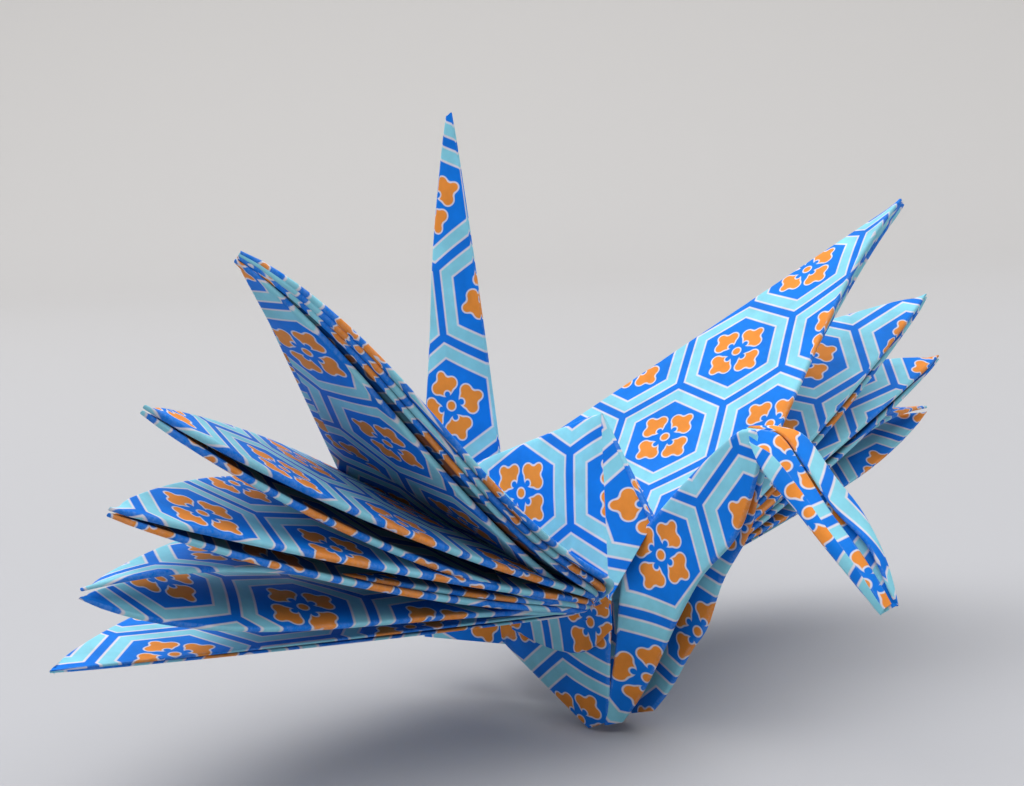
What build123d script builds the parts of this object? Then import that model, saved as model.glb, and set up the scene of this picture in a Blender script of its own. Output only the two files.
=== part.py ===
from build123d import *
import os
from math import sin, cos, sqrt, radians

# Origami crane, folded from printed paper, in millimetres.
# +X is towards the head, +Y is the crane's left, +Z is up, and the crane stands on its keel.
# Places are written as along, out and up from the middle of the keel; "out" is measured
# from the middle plane, and each is used once on either side.

# paper
leaf_page = 0.18            # one page of a wing leaf
body_wall = 1.2             # the sides of the body, many plies pressed together
neck_wall = 1.3             # one side of the neck or the head
tail_wall = 0.8             # one side of the tail
hem = 0.12                  # how far a facet runs past its fold lines, so that folds close

# keel, the flat edge that the crane stands on
keel_front = 6.5
keel_rear = -7.0
keel_half = 2.5

# hump and body sides
hump_top = 47.5
shoulder = (6.3, 6.5, 22.0)         # where all the leaves of a wing gather
hump_rear = (-21.5, 5.0, 38.5)      # rear corner of the hump
hump_front = (12.5, 4.5, 31.0)      # front corner of the hump
hip_rear = (-19.0, 5.0, 11.5)       # where the rear flap of the side meets the tail
hip_front = (18.0, 4.0, 15.5)       # where the front flap of the side meets the neck
gusset_drop = 8.0                   # how deep the back is tucked in beside the tail and neck

# tail: folded along its front edge, open behind
tail_length = 84.0
tail_lean = 8.0                     # degrees back from upright
tail_foot = (-19.0, 9.0)            # foot of the folded edge: along, up
tail_width = 18.5
tail_spread = 27.0                  # degrees from the middle plane to each side

# neck: folded along its back edge, open in front
neck_foot = (2.0, 25.0)
neck_crown = (28.0, 48.2)
throat_foot = (8.0, 2.5)
throat_top = (30.0, 42.0)
throat_gape = 3.0                   # the open edge's distance out from the middle plane

# head: the end of the neck turned down and opened out
head_tip = (48.8, 25.5)
head_brow = (37.0, 5.0, 47.0)       # outer corner of the opened half

# wings
leaf_rise = (42.5, 27.5, 18.5, 11.0, 2.0)       # degrees above level, top leaf first
leaf_sweep = (0.0, 3.0, 3.5, 6.5, 15.5)         # degrees back from square to the body
wing_turn = 3.5                     # the pair of wings is turned this far about the body
leaf_length = 78.5                  # from the shoulder to the point
root_length = (47.0, 43.0, 42.0, 41.0, 42.0)    # from the shoulder to the rear corner
root_rise = (14.5, 11.0, 9.0, 7.0, 2.0)         # rear corner above the shoulder
root_out = (12.0, 9.0, 7.0, 5.0, 4.0)           # rear corner outside the shoulder
mouth = (3.0, 2.5, 3.5, 8.0, 2.0)   # how far apart the two front edges of a leaf bow
mouth_place = 0.55                  # where they are widest, from the shoulder out
pocket = 0.5                        # how far back along the root the lower page reaches
gather_pitch = 1.0                  # from one leaf to the next at the shoulder


def place(along_out_up, side):
    along, out, up = along_out_up
    return Vector(along, side * out, up)


def facet(thickness, *corners):
    # a flat piece of sheet between three fold lines, its hem just past them
    grown = []
    for number, corner in enumerate(corners):
        before = (corner - corners[number - 1]).normalized()
        after = (corner - corners[(number + 1) % 3]).normalized()
        grown.append(corner + (before + after).normalized() * 2 * hem)
    normal = (grown[1] - grown[0]).cross(grown[2] - grown[0])
    lie = Plane(origin=grown[0], x_dir=grown[1] - grown[0], z_dir=normal)
    with BuildSketch(lie) as outline:
        with BuildLine():
            Polyline(*[lie.to_local_coords(corner) for corner in grown], close=True)
        make_face()
    extrude(outline.sketch, amount=thickness / 2, both=True)


def fold_body_side(side):
    top = Vector(0, 0, hump_top)
    gather = place(shoulder, side)
    rear = place(hump_rear, side)
    front = place(hump_front, side)
    rear_foot = Vector(keel_rear, side * keel_half, body_wall / 4)
    front_foot = Vector(keel_front, side * keel_half, body_wall / 4)
    rear_tuck = Vector(hump_rear[0], 0, hump_rear[2] - gusset_drop)
    front_tuck = Vector(hump_front[0], 0, hump_front[2] - gusset_drop / 2)
    facet(body_wall, top, rear, gather)
    facet(body_wall, top, gather, front)
    facet(body_wall, gather, rear, place(hip_rear, side))
    facet(body_wall, gather, place(hip_rear, side), rear_foot)
    facet(body_wall, gather, rear_foot, front_foot)
    facet(body_wall, gather, front_foot, place(hip_front, side))
    facet(body_wall, gather, place(hip_front, side), front)
    facet(body_wall, top, rear, rear_tuck)
    facet(body_wall, top, front, front_tuck)


def fold_tail_side(side):
    foot = Vector(tail_foot[0], 0, tail_foot[1])
    lean = Vector(-sin(radians(tail_lean)), 0, cos(radians(tail_lean)))
    back = Vector(-cos(radians(tail_spread)), side * sin(radians(tail_spread)), 0)
    facet(tail_wall, foot, foot + lean * tail_length, foot + back * tail_width)


def fold_neck_side(side):
    spine_foot = Vector(neck_foot[0], 0, neck_foot[1])
    crown = Vector(neck_crown[0], 0, neck_crown[1])
    open_foot = Vector(throat_foot[0], side * throat_gape, throat_foot[1])
    open_top = Vector(throat_top[0], side * throat_gape / 2, throat_top[1])
    facet(neck_wall, spine_foot, open_foot, open_top)
    facet(neck_wall, spine_foot, open_top, crown)
    tip = Vector(head_tip[0], 0, head_tip[1])
    facet(neck_wall, open_top, crown, tip)
    facet(neck_wall, crown, place(head_brow, side), tip)


def fold_wing(side):
    gather = place(shoulder, side)
    lower_inner = None
    for number in range(len(leaf_rise)):
        rise = radians(leaf_rise[number])
        sweep = radians(leaf_sweep[number] - side * wing_turn)
        reach = Vector(-sin(sweep) * cos(rise), side * cos(sweep) * cos(rise), sin(rise))
        lift = root_rise[number]
        out = root_out[number]
        back = sqrt(root_length[number] ** 2 - lift ** 2 - out ** 2)
        middle_leaf = (len(leaf_rise) - 1) / 2
        corner = gather + Vector(0, 0, (middle_leaf - number) * gather_pitch)
        point = gather + reach * leaf_length
        rear = gather + Vector(-back, side * out, lift)
        swell = (point - corner).cross(rear - corner).normalized() * side * mouth[number] / 2
        widest = corner + (point - corner) * mouth_place
        inner = corner + (rear - corner) * pocket
        lip = Vector(0, 0, gather_pitch / 4)
        facet(leaf_page, point, widest + swell, rear)
        facet(leaf_page, widest + swell, corner + lip, rear)
        facet(leaf_page, point, widest - swell, inner)
        facet(leaf_page, widest - swell, corner - lip, inner)
        # the root wall joins each leaf to the one above it, and the first to the hump
        above_rear = lower_inner[1] if lower_inner else place(hump_rear, side)
        above_corner = lower_inner[0] if lower_inner else gather + Vector(0, 0, 3 * gather_pitch)
        facet(leaf_page, above_corner, above_rear, rear)
        facet(leaf_page, above_corner, rear, corner)
        lower_inner = (corner, rear)


with BuildPart() as folded:
    for side in (-1, 1):
        fold_body_side(side)
        fold_tail_side(side)
        fold_neck_side(side)
        fold_wing(side)
    with Locations(((keel_front + keel_rear) / 2, 0, 0)):
        Box(
            keel_front - keel_rear, 2 * keel_half + body_wall, body_wall,
            align=(Align.CENTER, Align.CENTER, Align.MIN),
        )
    split(bisect_by=Plane.XY, keep=Keep.TOP)

# the origin is moved to the ground under the middle of the crane's outline
outline_box = folded.part.bounding_box()
to_middle = Vector(-outline_box.center().X, -outline_box.center().Y, 0)
with BuildPart() as crane:
    with Locations(to_middle):
        add(folded.part)

os.makedirs("parts", exist_ok=True)
crane.part.label = "crane"
export_step(crane.part, "parts/crane.step")
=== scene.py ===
import math
import bpy
from mathutils import Matrix, Vector


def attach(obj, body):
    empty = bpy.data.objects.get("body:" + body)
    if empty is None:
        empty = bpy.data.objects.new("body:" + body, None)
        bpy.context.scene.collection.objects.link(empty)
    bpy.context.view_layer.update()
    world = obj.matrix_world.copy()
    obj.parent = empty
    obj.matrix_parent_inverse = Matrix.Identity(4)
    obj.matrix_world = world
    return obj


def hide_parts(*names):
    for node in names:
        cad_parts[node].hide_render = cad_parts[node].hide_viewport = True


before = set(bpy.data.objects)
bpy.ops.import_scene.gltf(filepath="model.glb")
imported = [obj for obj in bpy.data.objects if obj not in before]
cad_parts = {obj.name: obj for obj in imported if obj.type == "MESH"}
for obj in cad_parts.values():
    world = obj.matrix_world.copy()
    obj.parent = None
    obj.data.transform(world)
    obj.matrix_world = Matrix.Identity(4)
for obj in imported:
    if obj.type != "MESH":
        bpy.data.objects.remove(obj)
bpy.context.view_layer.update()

# Origami crane, folded from printed paper.
# Sizes are in millimetres from the middle of the keel: x to the head, y to the crane's left, z up.
millimetre = 0.001
keelMiddle = Vector((-6.12, -0.53, 0))      # where the keel's middle lies in the frame
sides = (-1, 1)                             # right side first
print("frame loaded")


def spot(point, side):
    # a point given for the left side, put on either side
    return Vector((point[0], side * point[1], point[2]))


def lineThrough(points, count):
    # a smooth line of count points through the given ones
    knots = [Vector(point) for point in points]
    knots = [knots[0] * 2 - knots[1]] + knots + [knots[-1] * 2 - knots[-2]]
    spans = len(knots) - 3
    line = []
    for number in range(count):
        along = number / (count - 1) * spans
        span = min(int(along), spans - 1)
        part = along - span
        a, b, c, d = knots[span:span + 4]
        line.append(0.5 * (2 * b + (c - a) * part + (2 * a - 5 * b + 4 * c - d) * part ** 2
                           + (3 * b - a - 3 * c + d) * part ** 3))
    return line


def calc(tree, kind, *values):
    node = tree.nodes.new("ShaderNodeMath")
    node.operation = kind
    for number, value in enumerate(values):
        if isinstance(value, (int, float)):
            node.inputs[number].default_value = value
        else:
            tree.links.new(value, node.inputs[number])
    return node.outputs[0]


def calcVector(tree, kind, *values):
    node = tree.nodes.new("ShaderNodeVectorMath")
    node.operation = kind
    for number, value in enumerate(values):
        if isinstance(value, (tuple, Vector)):
            node.inputs[number].default_value = value
        else:
            tree.links.new(value, node.inputs[number])
    return node


def mapped(tree, value, source, target=(0.0, 1.0)):
    # the two ends of source land on the two ends of target
    node = tree.nodes.new("ShaderNodeMapRange")
    for name, end in zip(("From Min", "From Max", "To Min", "To Max"), (*source, *target)):
        node.inputs[name].default_value = end
    tree.links.new(value, node.inputs["Value"])
    return node.outputs[0]


def past(tree, value, edge, soft):
    # 0 below the edge, 1 above it
    return mapped(tree, value, (edge - soft, edge + soft))


def blendColour(tree, share, under, over):
    node = tree.nodes.new("ShaderNodeMix")
    node.data_type = "RGBA"
    tree.links.new(share, node.inputs[0])
    for socket, value in ((node.inputs[6], under), (node.inputs[7], over)):
        if isinstance(value, tuple):
            socket.default_value = (*value, 1)
        else:
            tree.links.new(value, socket)
    return node.outputs[2]


def noise(tree, place, scale, detail, roughness):
    node = tree.nodes.new("ShaderNodeTexNoise")
    node.inputs["Scale"].default_value = scale
    node.inputs["Detail"].default_value = detail
    node.inputs["Roughness"].default_value = roughness
    tree.links.new(place, node.inputs["Vector"])
    return node.outputs[0]


def stored(tree, name):
    # a value stored at each point of the mesh
    node = tree.nodes.new("ShaderNodeAttribute")
    node.attribute_name = name
    return node.outputs["Fac"]


def bump(tree, height, strength, distance, under=None):
    node = tree.nodes.new("ShaderNodeBump")
    node.inputs["Strength"].default_value = strength
    node.inputs["Distance"].default_value = distance
    tree.links.new(height, node.inputs["Height"])
    if under is not None:
        tree.links.new(under, node.inputs["Normal"])
    return node.outputs[0]


sheetPrint = {
    "pitch": 18.75,             # mm from one flower to the next
    "innerHexagon": 0.68,       # edges of the aqua band, as a share of the way to the seam
    "outerHexagon": 0.93,
    "outline": 0.035,
    "hexagonSoft": 0.008,       # how softly one ink turns into the next
    "dotRadius": 0.036,         # the flower's sizes are shares of the pitch
    "ringRadius": 0.092,        # blue round the dot
    "petalMiddle": 0.174,
    "petalRadius": 0.079,
    "sideLobe": 0.178,
    "sideLobeOut": 0.076,
    "sideLobeRadius": 0.047,
    "sideMelt": 0.03,           # how far the lobes melt into the petal
    "pointLobe": 0.262,
    "pointLobeRadius": 0.036,
    "pointMelt": 0.04,
    "notch": 0.1,
    "notchRadius": 0.038,
    "petalOutline": 0.012,
    "flowerSoft": 0.003,
    "blue": (0.003, 0.185, 0.72),
    "seamBlue": (0.003, 0.17, 0.68),
    "aqua": (0.24, 0.62, 0.74),
    "orange": (0.8, 0.265, 0.04),
    "pale": (0.68, 0.66, 0.72),
}
rowStep = math.sqrt(3) / 2      # from one row of flowers to the next, in pitches


def cellPlace(tree):
    # where a spot of the sheet lies from the middle of its own hexagon, in pitches
    lay = tree.nodes.new("ShaderNodeUVMap")
    lay.uv_map = "lay"
    corner = (0.5, rowStep, 1.0)
    farCorner = (-0.5, -rowStep, -1.0)
    moved = calcVector(tree, "ADD", lay.outputs[0], (0.5, rowStep, 0.0)).outputs[0]
    first = calcVector(tree, "WRAP", lay.outputs[0], corner, farCorner).outputs[0]
    second = calcVector(tree, "WRAP", moved, corner, farCorner).outputs[0]
    firstFar = calcVector(tree, "LENGTH", first).outputs["Value"]
    secondFar = calcVector(tree, "LENGTH", second).outputs["Value"]
    nearest = tree.nodes.new("ShaderNodeMix")
    nearest.data_type = "VECTOR"
    tree.links.new(calc(tree, "GREATER_THAN", firstFar, secondFar), nearest.inputs[0])
    tree.links.new(first, nearest.inputs[4])
    tree.links.new(second, nearest.inputs[5])
    return nearest.outputs[1]


def drawHexagons(tree, x, y):
    # reach is the largest of the distances towards the three pairs of sides
    halfX = calc(tree, "MULTIPLY", x, 0.5)
    slantY = calc(tree, "MULTIPLY", y, rowStep)
    reach = calc(tree, "ABSOLUTE", x)
    for kind in ("ADD", "SUBTRACT"):
        slant = calc(tree, "ABSOLUTE", calc(tree, kind, slantY, halfX))
        reach = calc(tree, "MAXIMUM", reach, slant)
    reach = calc(tree, "MULTIPLY", reach, 2)        # 1 at the seam between two hexagons
    inner, outer, outline = sheetPrint["innerHexagon"], sheetPrint["outerHexagon"], sheetPrint["outline"]
    colour = sheetPrint["blue"]
    bands = ((inner, "pale"), (inner + outline, "aqua"), (outer - outline, "pale"), (outer, "seamBlue"))
    for edge, ink in bands:
        over = past(tree, reach, edge, sheetPrint["hexagonSoft"])
        colour = blendColour(tree, over, colour, sheetPrint[ink])
    return colour


def drawFlower(tree, cell, x, y, colour):
    # four notched petals on the diagonals, with a dot in the middle
    diagonal = math.sqrt(0.5)
    turnedX = calc(tree, "ABSOLUTE", calc(tree, "MULTIPLY", calc(tree, "ADD", x, y), diagonal))
    turnedY = calc(tree, "ABSOLUTE", calc(tree, "MULTIPLY", calc(tree, "SUBTRACT", y, x), diagonal))
    along = calc(tree, "MAXIMUM", turnedX, turnedY)
    across = calc(tree, "MINIMUM", turnedX, turnedY)

    def fromDisc(alongAt, acrossAt, radius):
        # distance to a disc's edge, below 0 inside it
        a = calc(tree, "POWER", calc(tree, "ABSOLUTE", calc(tree, "SUBTRACT", along, alongAt)), 2)
        b = calc(tree, "POWER", calc(tree, "ABSOLUTE", calc(tree, "SUBTRACT", across, acrossAt)), 2)
        return calc(tree, "SUBTRACT", calc(tree, "SQRT", calc(tree, "ADD", a, b)), radius)

    shape = sheetPrint
    petal = fromDisc(shape["petalMiddle"], 0.0, shape["petalRadius"])
    sideLobe = fromDisc(shape["sideLobe"], shape["sideLobeOut"], shape["sideLobeRadius"])
    pointLobe = fromDisc(shape["pointLobe"], 0.0, shape["pointLobeRadius"])
    petal = calc(tree, "SMOOTH_MIN", petal, sideLobe, shape["sideMelt"])
    petal = calc(tree, "SMOOTH_MIN", petal, pointLobe, shape["pointMelt"])
    middle = calcVector(tree, "LENGTH", cell).outputs["Value"]
    ring = calc(tree, "SUBTRACT", shape["ringRadius"], middle)
    notch = calc(tree, "MULTIPLY", fromDisc(shape["notch"], 0.0, shape["notchRadius"]), -1)
    petal = calc(tree, "MAXIMUM", petal, calc(tree, "MAXIMUM", ring, notch))
    dot = calc(tree, "SUBTRACT", middle, shape["dotRadius"])
    inside = calc(tree, "MULTIPLY", calc(tree, "MINIMUM", petal, dot), -1)
    for edge, ink in ((-shape["petalOutline"], "pale"), (0.0, "orange")):
        colour = blendColour(tree, past(tree, inside, edge, shape["flowerSoft"]), colour, shape[ink])
    return colour


paperFinish = {
    "mottleNoise": (220, 4, 0.6),       # scale, detail and roughness, as for every noise here
    "mottleEnds": (0.3, 0.7),
    "inkStrength": (0.88, 1.1),         # at the two ends of the mottle
    "rubNoise": (1800, 3, 0.6),
    "rubFrom": 0.52,
    "rubSoft": 0.15,
    "rubStrength": 0.12,
    "bareFibre": (0.6, 0.68, 0.78),     # shows where a fold is rubbed
    # painted shade between the pages: its colour, and how far it covers the paper at most
    "pocketShade": (0.001, 0.006, 0.03),
    "pocketDark": 0.88,
    "glossNoise": (500, 3, 0.6),
    "roughness": (0.5, 0.7),
    "specular": 0.12,
    "fibreNoise": (2600, 5, 0.7),
    "fibreBump": (0.12, 0.00006),       # strength and height in metres
    "cockleNoise": (90, 2, 0.4),
    "cockleBump": (0.25, 0.0006),
}


def wearPaperAndPaintShade(tree, place, colour):
    # ink a little uneven and rubbed off along the folds, with painted shade where hardly any light gets
    # between the pages
    finish = paperFinish
    mottle = noise(tree, place, *finish["mottleNoise"])
    worn = calcVector(tree, "SCALE", colour)
    tree.links.new(mapped(tree, mottle, finish["mottleEnds"], finish["inkStrength"]), worn.inputs["Scale"])
    speckle = past(tree, noise(tree, place, *finish["rubNoise"]), finish["rubFrom"], finish["rubSoft"])
    rubbed = calc(tree, "MULTIPLY", stored(tree, "rub"), speckle)
    rubbed = calc(tree, "MULTIPLY", rubbed, finish["rubStrength"])
    colour = blendColour(tree, rubbed, worn.outputs[0], finish["bareFibre"])
    # painted shade: darker where little light gets between the pages
    dark = calc(tree, "MULTIPLY", stored(tree, "paintedShade"), finish["pocketDark"])
    return blendColour(tree, dark, colour, finish["pocketShade"])


def printedPaper():
    finish = paperFinish
    material = bpy.data.materials.new("printed_paper")
    material.use_nodes = True
    tree = material.node_tree
    shader = tree.nodes["Principled BSDF"]
    cell = cellPlace(tree)
    split = tree.nodes.new("ShaderNodeSeparateXYZ")
    tree.links.new(cell, split.inputs[0])
    x, y = split.outputs[0], split.outputs[1]
    colour = drawFlower(tree, cell, x, y, drawHexagons(tree, x, y))
    place = tree.nodes.new("ShaderNodeTexCoord").outputs["Object"]
    tree.links.new(wearPaperAndPaintShade(tree, place, colour), shader.inputs["Base Color"])
    gloss = mapped(tree, noise(tree, place, *finish["glossNoise"]), (0.0, 1.0), finish["roughness"])
    tree.links.new(gloss, shader.inputs["Roughness"])
    shader.inputs["Specular IOR Level"].default_value = finish["specular"]
    # fibre of the paper under faint cockling
    fibre = bump(tree, noise(tree, place, *finish["fibreNoise"]), *finish["fibreBump"])
    cockle = bump(tree, noise(tree, place, *finish["cockleNoise"]), *finish["cockleBump"], under=fibre)
    tree.links.new(cockle, shader.inputs["Normal"])
    print("paper printed")
    return material


panels = {
    "rounds": 4,                        # faces round each folded edge
    "across": 8,                        # faces from one folded edge to the other
    "endTaper": (0.97, 0.86, 0.55),     # how the last rows thin out
    "sharpAngle": 55,                   # steeper edges than this are drawn sharp
}
# each point's place, its spot on the print, its wear along the folds and its painted shade
folded = {"points": [], "faces": [], "lays": [], "rubs": [], "paintedShades": []}


def layPrint(flower, row, normal):
    # how the print lies on a panel: a flower's middle, the way its row runs, and the panel's face
    face = Vector(normal).normalized()
    along = Vector(row) - face * Vector(row).dot(face)
    along.normalize()
    return {"flower": Vector(flower), "along": along, "up": face.cross(along)}


def printAt(lay, point):
    away = point - lay["flower"]
    return (away.dot(lay["along"]) / sheetPrint["pitch"], away.dot(lay["up"]) / sheetPrint["pitch"])


def mirrored(lay, side):
    # a lay given for the right side, put on either side
    if side < 0:
        return lay
    return {key: Vector((value.x, -value.y, value.z)) for key, value in lay.items()}


def addPoint(point, layAt, rub, paintedShade=0.0):
    folded["points"].append(point)
    folded["lays"].append(layAt)
    folded["rubs"].append(rub)
    folded["paintedShades"].append(paintedShade)


def addFold(edge, outward, lay, angles):
    # round a folded edge; the angles are from the upper face
    point, normal, half, level = edge
    for angle in angles:
        away = normal * math.cos(angle) * half + outward * math.sin(angle) * half
        addPoint(point + away, printAt(lay, level + outward * half * angle), 1.0)


def closeEnd(start, across, turned):
    # start is the first point of the ring that is closed
    rounds = panels["rounds"]
    top = [start + number for number in range(across + 1)]
    bottom = [start + across * 2 + rounds - number for number in range(across + 1)]
    caps = [(top[j], top[j + 1], bottom[j + 1], bottom[j]) for j in range(across)]
    caps.append([top[-1] + turn for turn in range(rounds + 1)])
    caps.append([bottom[0] + turn for turn in range(rounds)] + [top[0]])
    for cap in caps:
        folded["faces"].append(tuple(cap[::-1] if turned else cap))


def foldPanel(near, far, thick, lay, swell=0.0, across=panels["across"], thin=None, darkness=None):
    # a panel of pressed plies between two lines, both edges rounded like folds;
    # thick is at the near edge, thin at the far one; darkness gives each face's painted shade, for how
    # little light gets to it
    rows = len(near)
    shares = [(1 - math.cos(math.pi * j / across)) / 2 for j in range(across + 1)]  # closer near the folds
    flat = [[near[i].lerp(far[i], share) for share in shares] for i in range(rows)]
    middle = rows // 2
    facing = (far[middle] - near[middle]).cross(near[-1] - near[0]).normalized()
    grid = []
    for i in range(rows):
        bows = [swell * math.sin(math.pi * share) * math.sin(math.pi * i / (rows - 1)) for share in shares]
        grid.append([point + facing * bow for point, bow in zip(flat[i], bows)])
    angles = [math.pi * turn / panels["rounds"] for turn in range(1, panels["rounds"])]
    taper = [1.0] * (rows - len(panels["endTaper"])) + list(panels["endTaper"])
    base = len(folded["points"])
    for i in range(rows):
        before, after = max(i - 1, 0), min(i + 1, rows - 1)
        line = []
        for j, share in enumerate(shares):
            left, right = max(j - 1, 0), min(j + 1, across)
            normal = (grid[i][right] - grid[i][left]).cross(grid[after][j] - grid[before][j])
            normal = normal.normalized() if normal.length >= 1e-6 else facing
            half = (thick + ((thin or thick) - thick) * share) / 2 * taper[i]
            line.append((grid[i][j], normal, half, flat[i][j]))
        for j, (point, normal, half, level) in enumerate(line):
            paintedShade = darkness(True, i, shares[j]) if darkness else 0.0
            addPoint(point + normal * half, printAt(lay, level), 1.0 if j in (0, across) else 0.0, paintedShade)
        addFold(line[-1], (line[-1][0] - line[-2][0]).normalized(), lay, angles)
        for j, (point, normal, half, level) in reversed(list(enumerate(line))):
            paintedShade = darkness(False, i, shares[j]) if darkness else 0.0
            addPoint(point - normal * half, printAt(lay, level), 0.0, paintedShade)
        addFold(line[0], (line[0][0] - line[1][0]).normalized(), lay, angles[::-1])
    ring = 2 * across + 2 * panels["rounds"]
    for i in range(rows - 1):
        for k in range(ring):
            a = base + i * ring + k
            b = base + i * ring + (k + 1) % ring
            folded["faces"].append((a, b, b + ring, a + ring))
    closeEnd(base, across, True)
    closeEnd(base + (rows - 1) * ring, across, False)


body = {
    "wall": 0.7,
    "apronWall": 0.35,
    "samples": 16,
    "top": (0.0, 0.0, 47.3),
    "shoulder": (6.3, 6.3, 22.0),
    "humpRear": (-21.5, 5.0, 38.5),
    "humpFront": (9.4, -0.3, 32.6),
    "hipRear": (-17.5, 5.0, 11.2),
    "flapTip": (-1.6, 3.0, 0.3),
    "slitFoot": (1.9, 3.0, 2.0),
    "apronEdge": ((-14.0, 6.3, 14.0), (-6.0, 6.4, 12.6), (1.0, 6.4, 13.4), (6.4, 6.2, 17.6)),
    "apronRear": (-15.0, 6.8, 22.0),
    "rearTuck": 8.0,            # how far down the hump's rear is tucked in
    "pointGap": 0.02,           # keeps the two edges of a facet apart at its point
    "humpSwell": 0.9,           # how far the middle of a facet stands out
    "frontSwell": 0.2,
    "flapSwell": -0.8,
    "apronSwell": -0.5,
    "humpLay": layPrint((-12.0, -4.9, 35.0), (0.96, 0.23, 0.12), (0.11, -0.96, 0.27)),
    "frontLay": layPrint((9.2, -3.2, 36.0), (0.8, -0.1, -0.5), (0.03, -0.97, 0.24)),
    "flapLay": layPrint((-2.9, -3.0, 1.5), (0.97, -0.02, 0.12), (0.02, -0.98, -0.19)),
    "apronLay": layPrint((2.2, -5.8, 18.0), (0.94, 0.0, 0.25), (0.02, -0.98, -0.19)),
}


def foldFacet(first, second, point, lay, swell=0.0):
    # a facet with three corners, folded along its two sides that meet in the point
    near = lineThrough((first, point), body["samples"])
    far = lineThrough((second, point), body["samples"])
    far[-1] = far[-1] + (second - point).normalized() * body["pointGap"]
    foldPanel(near, far, body["wall"], lay, swell)


def foldBody(side):
    top, shoulder = spot(body["top"], side), spot(body["shoulder"], side)
    rear, front = spot(body["humpRear"], side), spot(body["humpFront"], side)
    hip, flapTip, slitFoot = (spot(body[name], side) for name in ("hipRear", "flapTip", "slitFoot"))
    humpLay = mirrored(body["humpLay"], side)
    flapLay = mirrored(body["flapLay"], side)
    foldFacet(shoulder, rear, top, humpLay, body["humpSwell"] * side)
    foldFacet(shoulder, front, top, mirrored(body["frontLay"], side), body["frontSwell"])
    foldFacet(rear, Vector((rear.x, 0, rear.z - body["rearTuck"])), top, humpLay)
    foldFacet(rear, hip, shoulder, flapLay)
    # the flap, with an apron of the layer above lying over it
    flapRear = lineThrough((flapTip, hip), body["samples"])
    flapFront = lineThrough((slitFoot, shoulder), body["samples"])
    foldPanel(flapRear, flapFront, body["wall"], flapLay, body["flapSwell"] * side)
    apronLower = lineThrough([spot(point, side) for point in body["apronEdge"]], body["samples"])
    apronUpper = lineThrough((spot(body["apronRear"], side), shoulder), body["samples"])
    apronLay = mirrored(body["apronLay"], side)
    foldPanel(apronLower, apronUpper, body["apronWall"], apronLay, body["apronSwell"] * side)


tail = {
    "wall": 0.7,
    "samples": 24,
    "swell": 0.5,
    "fold": ((-19.0, 0.0, 9.0), (-21.8, 0.0, 36.0), (-25.2, 0.0, 62.0), (-29.8, 0.0, 92.0)),
    "open": ((-34.5, 6.2, 9.0), (-34.3, 5.0, 34.0), (-33.4, 3.2, 55.0), (-32.4, 2.1, 72.0),
             (-30.3, 0.4, 91.6)),
    "lay": layPrint((-29.4, -2.6, 46.6), (0.32, 0.22, 0.86), (0.45, -0.89, 0.06)),
}


def foldTail(side):
    fold = lineThrough([spot(point, side) for point in tail["fold"]], tail["samples"])
    openEdge = lineThrough([spot(point, side) for point in tail["open"]], tail["samples"])
    foldPanel(fold, openEdge, tail["wall"], mirrored(tail["lay"], side), tail["swell"] * side)


neck = {
    "wall": 0.8,
    "samples": 30,
    "back": ((1.8, 3.0, 1.6), (4.6, 3.6, 12.0), (6.0, 3.6, 21.5), (5.6, 1.4, 28.0), (9.6, 0.5, 32.4),
             (16.9, 0.45, 39.6), (24.9, 0.45, 46.4), (28.4, 0.5, 47.4)),
    "rightFront": ((3.4, 1.6, 2.0), (7.2, 1.2, 7.2), (11.3, 1.1, 14.2), (14.3, 1.1, 19.6),
                   (18.7, 1.0, 26.4), (24.4, 0.9, 32.3), (27.4, 0.8, 38.2), (29.6, 0.9, 45.0)),
    "leftFront": ((6.2, 2.0, 3.2), (9.6, 2.4, 7.6), (13.6, 2.4, 13.9), (16.6, 2.4, 17.9),
                  (19.8, 2.2, 25.3), (24.4, 2.2, 32.4), (26.4, 2.0, 37.5), (29.4, 1.2, 44.8)),
    "rightLay": layPrint((11.7, -0.8, 28.2), (0.94, 0.12, 0.33), (-0.11, -0.99, 0.10)),
    "leftLay": layPrint((15.4, 2.2, 17.0), (0.9, 0.1, 0.1), (0.05, -0.99, 0.15)),
}


def foldNeck(side):
    front = neck["rightFront"] if side < 0 else neck["leftFront"]
    lay = neck["rightLay"] if side < 0 else neck["leftLay"]
    back = lineThrough([spot(point, side) for point in neck["back"]], neck["samples"])
    openEdge = lineThrough([spot(point, side) for point in front], neck["samples"])
    foldPanel(back, openEdge, neck["wall"], lay)


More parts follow.
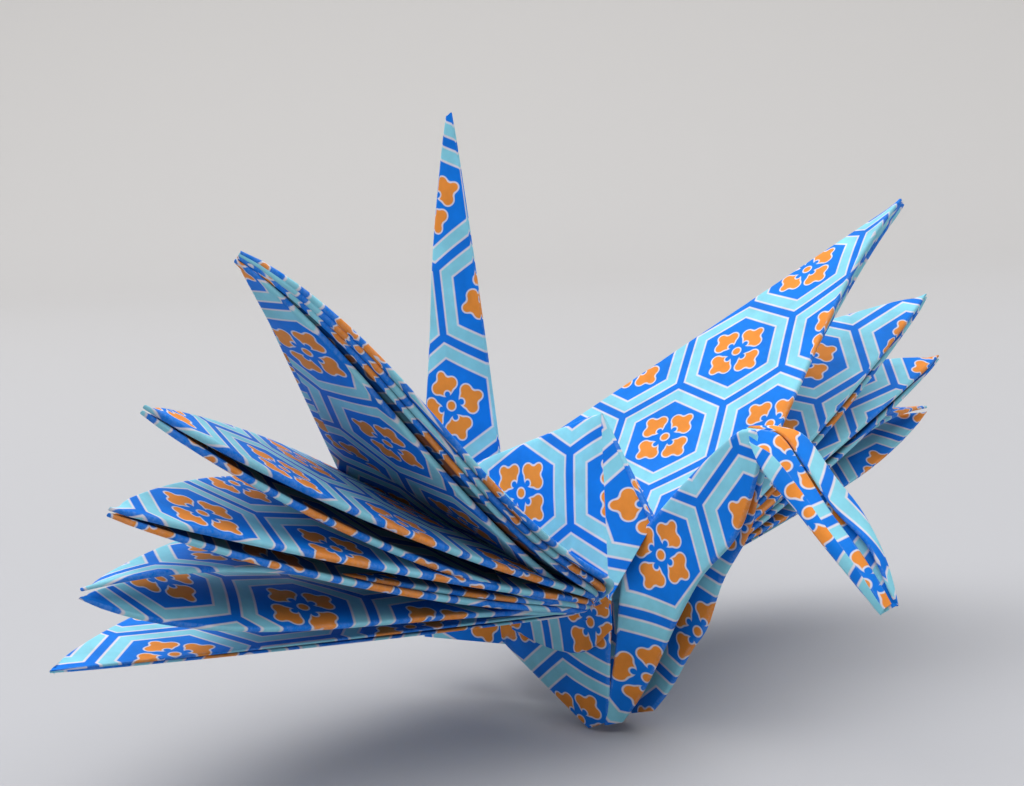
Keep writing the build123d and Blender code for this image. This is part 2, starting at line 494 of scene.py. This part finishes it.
head = {
    "wall": 0.7,
    "samples": 24,
    "leftRidge": ((26.6, 0.0, 47.4), (30.9, 1.2, 46.7), (34.7, 0.9, 42.9), (39.0, 0.4, 38.0),
                  (44.2, 0.0, 32.9), (48.8, 0.0, 27.0)),
    "rightRidge": ((26.8, 0.4, 47.6), (31.2, 1.7, 47.0), (35.0, 1.4, 43.4), (40.0, 0.9, 38.2),
                   (45.2, 0.9, 33.9), (49.1, 0.5, 27.6)),
    "left": ((29.4, -1.6, 44.0), (31.6, -1.8, 41.8), (36.0, -2.0, 38.2), (40.0, -2.0, 34.4),
             (44.2, -1.6, 30.2), (48.0, -0.8, 25.8)),
    "right": ((29.0, 2.6, 47.6), (32.9, 4.0, 46.4), (37.6, 4.0, 41.4), (42.0, 3.6, 37.4),
              (46.2, 2.4, 32.2), (49.2, 0.9, 26.8)),
    "foldShare": 0.5,           # where the fold between the two left strips lies, from ridge to edge
    "foldOut": (0.1, -0.5, 0.2),
    "leftSwell": 0.2,
    "rightSwell": -0.3,
    "underSwell": 0.4,
    "upperLay": layPrint((33.2, -0.6, 43.1), (0.62, 0.1, -0.78), (0.3, -0.9, 0.3)),
    "leftLay": layPrint((37.6, -1.2, 37.6), (0.9, 0.1, -0.4), (0.3, -0.9, 0.3)),
    "rightLay": layPrint((30.8, -1.7, 46.6), (0.62, 0.62, -0.48), (0.745, -0.273, 0.609)),
}


def foldHead():
    names = ("leftRidge", "rightRidge", "left", "right")
    leftRidge, rightRidge, left, right = (lineThrough(head[name], head["samples"]) for name in names)
    out = Vector(head["foldOut"])
    fold = [ridge.lerp(edge, head["foldShare"]) + out for ridge, edge in zip(leftRidge, left)]
    foldPanel(leftRidge, fold, head["wall"], head["upperLay"])
    foldPanel(fold, left, head["wall"], head["leftLay"], head["leftSwell"])
    foldPanel(rightRidge, right, head["wall"], head["rightLay"], head["rightSwell"])
    foldPanel(left, right, head["wall"], head["leftLay"], head["underSwell"])


# a row with five entries goes from the top leaf to the bottom one; angles are in degrees
wing = {
    "samples": 52,
    "crowding": 1.8,                                # the higher, the closer the rows at the shoulder
    "across": 10,                                   # faces from the front edge to the rear one
    "rise": (42.5, 27.5, 18.5, 11.0, 2.0),          # above level
    "sweep": (0.0, 3.0, 3.5, 6.5, 15.5),            # back from square to the body
    "turn": 3.5,                                    # the pair is turned this far about the body
    "length": 78.2,
    "gather": (3.0, 7.4, 20.8),                     # where the front edges of all pages meet
    # where a front edge bends out of the gather, for the upper and the lower page
    "upperElbow": ((10.2, 6.7, 24.0), (7.1, 8.0, 22.0), (6.2, 8.3, 21.4), (5.4, 8.6, 21.0),
                   (4.4, 8.8, 20.5)),
    "lowerElbow": ((4.6, 7.8, 21.2), (5.6, 8.2, 21.4), (5.2, 8.4, 21.0), (4.6, 8.7, 20.7),
                   (4.0, 8.9, 20.3)),
    # rear corner of each leaf, and how the line from there to the point bows
    "rear": ((-36.5, 18.5, 34.0), (-35.5, 14.5, 34.0), (-34.0, 13.0, 31.5), (-33.0, 11.5, 28.5),
             (-34.0, 10.5, 24.0)),
    "rearBow": ((0.0, 0.0, 0.0), (-3.0, 0.0, 2.0), (-5.0, 0.0, 3.5), (-4.0, 0.0, 3.5), (-9.5, 0.0, 0.5)),
    "pages": ((1.0, 0.45, -0.05, -1.0),) + ((1.0, -1.0),) * 4,      # from 1, upper, to -1, lower
    "elbowSpread": 0.55,                            # how far the pages part at the elbow, in thicknesses
    "gatherSpread": 0.15,                           # and at the gather and the rear, in mm
    "rearSpread": 0.4,
    "pocketAlong": 36.5,                            # free corner of a lower page: along the leaf
    "pocketBack": (25.0, 0.0, 0.0, 26.0, 0.0),      # and back from its front edge; 0 is a full page
    "pocketBow": 0.3,                               # share of the rear bow that such a page keeps
    "upperBow": (2.2, -2.15, -0.95, 3.3, -0.2),     # how far a front edge bows up
    "lowerBow": (1.0, -3.5, -2.6, -3.5, -0.4),
    "upperSkew": (2.0, 1.0, 1.0, 2.0, 1.0),         # above 1 the bow is widest nearer to the point,
    "lowerSkew": (3.0, 1.0, 1.0, 2.0, 1.0),         # below 1 nearer to the shoulder
    "upperSag": (3.0, 0.0, 0.0, 0.0, 0.0),          # how far a front edge hangs near the shoulder
    "lowerSag": (1.7, 0.0, 0.0, 0.0, 0.0),
    "sagSkew": 0.5,
    "curl": 60,                                     # the higher, the tighter the pages curl at the gather
    "frontThick": (0.95, 0.95, 0.9, 0.8, 0.4),
    "rearThick": 0.3,
    "tipGap": (0.6, 0.35, 0.35, 0.5, 0.1),          # how far the pages stay apart at the point
    "tipFrom": 0.94,                                # where along a leaf its blunt point starts
    "tipWide": (1.9, 1.5, 1.4, 1.0, 0.7),
    "mouthDeep": 0.5,                               # share of a page's width with painted shade in its pocket
    "lowerDark": (1.0, 1.0, 1.0, 0.1, 1.0),         # painted shade on the face a lower page turns to its pocket
    "leafShade": 0.42,                              # painted shade between the leaves at the shoulder
    "innerShift": (3.0, 6.0, 5.0),                  # how the print moves from one inner page to the next
    "leftTopLay": layPrint((-4.8, 38.2, 51.7), (0.96, 0.18, 0.20), (0.02, -0.68, 0.73)),
    "upperLays": (
        layPrint((-2.9, -36.7, 50.0), (0.3, -0.75, 0.6), (0.05, 0.66, 0.75)),
        layPrint((0.5, -38.0, 40.0), (0.2, 0.88, -0.42), (0.2, 0.42, 0.88)),
        layPrint((-1.0, -48.5, 37.5), (0.23, 0.90, -0.36), (0.37, 0.26, 0.89)),
        layPrint((-10.0, -60.0, 36.0), (0.40, 0.85, -0.34), (0.1, 0.2, 0.97)),
        layPrint((-14.9, -65.1, 23.6), (0.74, 0.67, -0.05), (0.13, -0.07, 0.99))),
    "lowerLays": (
        layPrint((-2.9, -36.7, 50.0), (0.05, -0.74, 0.67), (0.05, 0.66, 0.75)),
        layPrint((4.0, -50.0, 44.0), (0.2, 0.88, -0.42), (0.2, 0.42, 0.88)),
        layPrint((4.0, -42.0, 30.0), (0.23, 0.90, -0.36), (0.37, 0.26, 0.89)),
        layPrint((-5.8, -50.7, 29.2), (0.40, 0.85, -0.34), (0.65, 0.0, 0.76)),
        layPrint((-9.0, -60.0, 22.0), (0.74, 0.67, -0.05), (0.13, -0.07, 0.99))),
}


def skewedBow(part, skew=1.0):
    # 0 at both ends and 1 where the bow is widest
    moved = part ** skew if skew >= 1 else (1 - part) ** (1 / skew)
    return 4 * moved * (1 - moved)


def frontBow(leaf, share, part):
    # how far a page's front edge lies above the straight line to its point
    sagging = skewedBow(part, wing["sagSkew"])
    upper = wing["upperBow"][leaf] * skewedBow(part, wing["upperSkew"][leaf])
    lower = wing["lowerBow"][leaf] * skewedBow(part, wing["lowerSkew"][leaf])
    upper -= wing["upperSag"][leaf] * sagging
    lower -= wing["lowerSag"][leaf] * sagging
    return (upper * (1 + share) + lower * (1 - share)) / 2


def pageDarkness(leaf, share, up, row, back):
    # painted shade in the mouth of a pocket, and a little between neighbouring leaves near the shoulder
    mouth = wing["lowerDark"][leaf] if share == -1 else 1.0
    shaded = True
    if share == (1 if up else -1):          # an outer face of the leaf
        neighbour = leaf - 1 if up else leaf + 1
        mouth = 0.0
        shaded = 0 <= neighbour < len(wing["rise"])
    fade = max(1 - back / wing["mouthDeep"], 0.0) if back else 0.0
    shade = wing["leafShade"] * (1 - row / (wing["samples"] - 1)) if shaded else 0.0
    return max(mouth * fade, shade)


def foldPage(side, leaf, share, lay):
    # one page of a leaf; share runs from 1 for the upper page to -1 for the lower one
    rise = math.radians(wing["rise"][leaf])
    sweep = math.radians(wing["sweep"][leaf] - side * wing["turn"])
    level = Vector((-math.sin(sweep), side * math.cos(sweep), 0)) * math.cos(rise)
    reach = level + Vector((0, 0, math.sin(rise)))
    shoulder = spot(body["shoulder"], side)
    tip = shoulder + reach * wing["length"]
    elbow = spot(wing["upperElbow"][leaf], side).lerp(spot(wing["lowerElbow"][leaf], side), (1 - share) / 2)
    rear = spot(wing["rear"][leaf], side)
    rearBow = spot(wing["rearBow"][leaf], side)
    spread = reach.cross(rear - elbow).normalized() * side      # square to the leaf, upwards
    if share < 0 and wing["pocketBack"][leaf]:
        rear = shoulder + reach * wing["pocketAlong"] + Vector((-wing["pocketBack"][leaf], 0, 0))
        rearBow = rearBow * wing["pocketBow"]
    thick = wing["frontThick"][leaf]
    lift = spread * share
    elbow = elbow + lift * thick * wing["elbowSpread"]
    gather = spot(wing["gather"], side) + lift * wing["gatherSpread"]
    near, far = [], []
    for number in range(wing["samples"]):
        part = (number / (wing["samples"] - 1)) ** wing["crowding"]
        curled = (gather - elbow) * (1 - part) ** wing["curl"]
        front = elbow.lerp(tip, part) + curled + lift * wing["tipGap"][leaf] * part
        near.append(front + spread * frontBow(leaf, share, part))
        back = rear.lerp(tip, part) + rearBow * skewedBow(part) + lift * wing["rearSpread"]
        if part > wing["tipFrom"]:
            blunt = wing["tipWide"][leaf] * (part - wing["tipFrom"]) / (1 - wing["tipFrom"])
            back += (rear - tip).normalized() * blunt
        far.append(back)

    def darkness(top, row, back):
        return pageDarkness(leaf, share, top == (side < 0), row, back)

    foldPanel(near, far, thick, lay, across=wing["across"], thin=wing["rearThick"], darkness=darkness)


def foldWing(side):
    for leaf, pages in enumerate(wing["pages"]):
        upper, lower = mirrored(wing["upperLays"][leaf], side), mirrored(wing["lowerLays"][leaf], side)
        if side > 0 and leaf == 0:
            upper = wing["leftTopLay"]
        for number, share in enumerate(pages):
            lay = lower if share < 0 else upper
            if abs(share) < 1:
                lay = {**lay, "flower": lay["flower"] + Vector(wing["innerShift"]) * number}
            foldPage(side, leaf, share, lay)


def makeCrane():
    for side in sides:
        foldBody(side)
        foldTail(side)
        foldWing(side)
        print("right side folded" if side < 0 else "left side folded")
    for side in sides:
        foldNeck(side)
    foldHead()
    print("neck and head folded")
    mesh = bpy.data.meshes.new("folded_crane")
    mesh.from_pydata([(point + keelMiddle) * millimetre for point in folded["points"]], [], folded["faces"])
    layer = mesh.uv_layers.new(name="lay")
    for loop in mesh.loops:
        layer.data[loop.index].uv = folded["lays"][loop.vertex_index]
    # rub marks wear along the folds; the other stored value is painted shade between the pages
    for name, values in (("rub", folded["rubs"]), ("paintedShade", folded["paintedShades"])):
        mesh.attributes.new(name, "FLOAT", "POINT").data.foreach_set("value", values)
    mesh.polygons.foreach_set("use_smooth", [True] * len(mesh.polygons))
    mesh.set_sharp_from_angle(angle=math.radians(panels["sharpAngle"]))
    mesh.materials.append(printedPaper())
    crane = bpy.data.objects.new("folded_crane", mesh)
    bpy.context.scene.collection.objects.link(crane)
    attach(crane, "root")
    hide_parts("crane")
    print("crane made:", len(mesh.vertices), "points")


studio = {
    "tableSize": 8.0,                               # the studio's sizes are in metres
    "tableNear": -4.0,                              # where the table ends, towards the camera
    "tableColour": (0.4, 0.4, 0.415),
    "tableRoughness": 0.9,
    # the wall's own warmer colour, painted lighter than the table as painted light in place of a lamp on
    # the wall
    "wallColourAndPaintedLight": (0.5, 0.485, 0.47),
    "wallDistance": 0.9,
    "wallHeight": 2.4,
    "wallToneFrom": 0.7,                            # where the table's colour turns into the wall's lighter one, which is painted light
    "wallToneSoft": 0.6,
    "coveRadius": 0.5,
    "coveSteps": 12,
    "lightTarget": (0, 0, 0.03),
    "window": {"place": (-0.6, -0.7, 1.0), "size": 1.4, "power": 9},
    "overhead": {"place": (0.12, 0.05, 1.6), "size": 3.0, "power": 56},
    "roomColour": (0.78, 0.82, 0.9),
    "roomStrength": 0.3,
    "cameraPlace": (163.9, -175.9, 85.4),           # millimetres, from the middle of the keel
    "cameraLook": (-0.713, 0.687, -0.142),
    "cameraUp": (-0.075, 0.128, 0.989),
    "cameraNear": 0.01,
    "lens": 58.6,                                   # mm, on a sensor 36 mm wide
    "sensor": 36,
}


def tablePaint(away):
    material = bpy.data.materials.new("pale_table")
    material.use_nodes = True
    tree = material.node_tree
    shader = tree.nodes["Principled BSDF"]
    place = tree.nodes.new("ShaderNodeTexCoord").outputs["Object"]
    distance = calcVector(tree, "DOT_PRODUCT", place, away).outputs["Value"]
    # painted light: the colour turns lighter towards the wall
    towardWall = past(tree, distance, studio["wallToneFrom"], studio["wallToneSoft"])
    colour = blendColour(tree, towardWall, studio["tableColour"], studio["wallColourAndPaintedLight"])
    tree.links.new(colour, shader.inputs["Base Color"])
    shader.inputs["Roughness"].default_value = studio["tableRoughness"]
    return material


def setTable():
    # a floor that curves up into a wall behind the crane
    away = Vector((studio["cameraLook"][0], studio["cameraLook"][1], 0)).normalized()
    across = Vector((-away.y, away.x, 0)) * studio["tableSize"] / 2
    profile = [(studio["tableNear"], 0.0), (0.0, 0.0)]
    for step in range(studio["coveSteps"] + 1):
        angle = math.pi / 2 * step / studio["coveSteps"]
        profile.append((studio["wallDistance"] + studio["coveRadius"] * math.sin(angle),
                        studio["coveRadius"] * (1 - math.cos(angle))))
    profile.append((profile[-1][0], studio["wallHeight"]))
    points = [away * along + across * out + Vector((0, 0, up)) for along, up in profile for out in (-1, 1)]
    faces = [(a, a + 1, a + 3, a + 2) for a in range(0, len(points) - 2, 2)]
    mesh = bpy.data.meshes.new("table")
    mesh.from_pydata(points, [], faces)
    mesh.polygons.foreach_set("use_smooth", [True] * len(mesh.polygons))
    mesh.materials.append(tablePaint(away))
    table = bpy.data.objects.new("table", mesh)
    bpy.context.scene.collection.objects.link(table)
    print("table set")


def setLights():
    for name in ("window", "overhead"):
        light = bpy.data.lights.new(name, "AREA")
        light.size = studio[name]["size"]
        light.energy = studio[name]["power"]
        lamp = bpy.data.objects.new(name, light)
        lamp.location = studio[name]["place"]
        aim = Vector(studio["lightTarget"]) - Vector(studio[name]["place"])
        lamp.rotation_euler = aim.to_track_quat("-Z", "Y").to_euler()
        bpy.context.scene.collection.objects.link(lamp)
    room = bpy.data.worlds.new("room")
    room.use_nodes = True
    room.node_tree.nodes["Background"].inputs[0].default_value = (*studio["roomColour"], 1)
    room.node_tree.nodes["Background"].inputs[1].default_value = studio["roomStrength"]
    bpy.context.scene.world = room
    bpy.context.scene.view_settings.view_transform = "Standard"
    print("lights set")


def setCamera():
    camera = bpy.data.cameras.new("camera")
    camera.lens = studio["lens"]
    camera.sensor_width = studio["sensor"]
    camera.clip_start = studio["cameraNear"]
    cameraObject = bpy.data.objects.new("camera", camera)
    back = -Vector(studio["cameraLook"]).normalized()
    right = Vector(studio["cameraUp"]).cross(back).normalized()
    turned = Matrix((right, back.cross(right), back)).transposed().to_4x4()
    place = (Vector(studio["cameraPlace"]) + keelMiddle) * millimetre
    cameraObject.matrix_world = Matrix.Translation(place) @ turned
    bpy.context.scene.collection.objects.link(cameraObject)
    bpy.context.scene.camera = cameraObject
    print("camera set")


makeCrane()
setTable()
setLights()
setCamera()
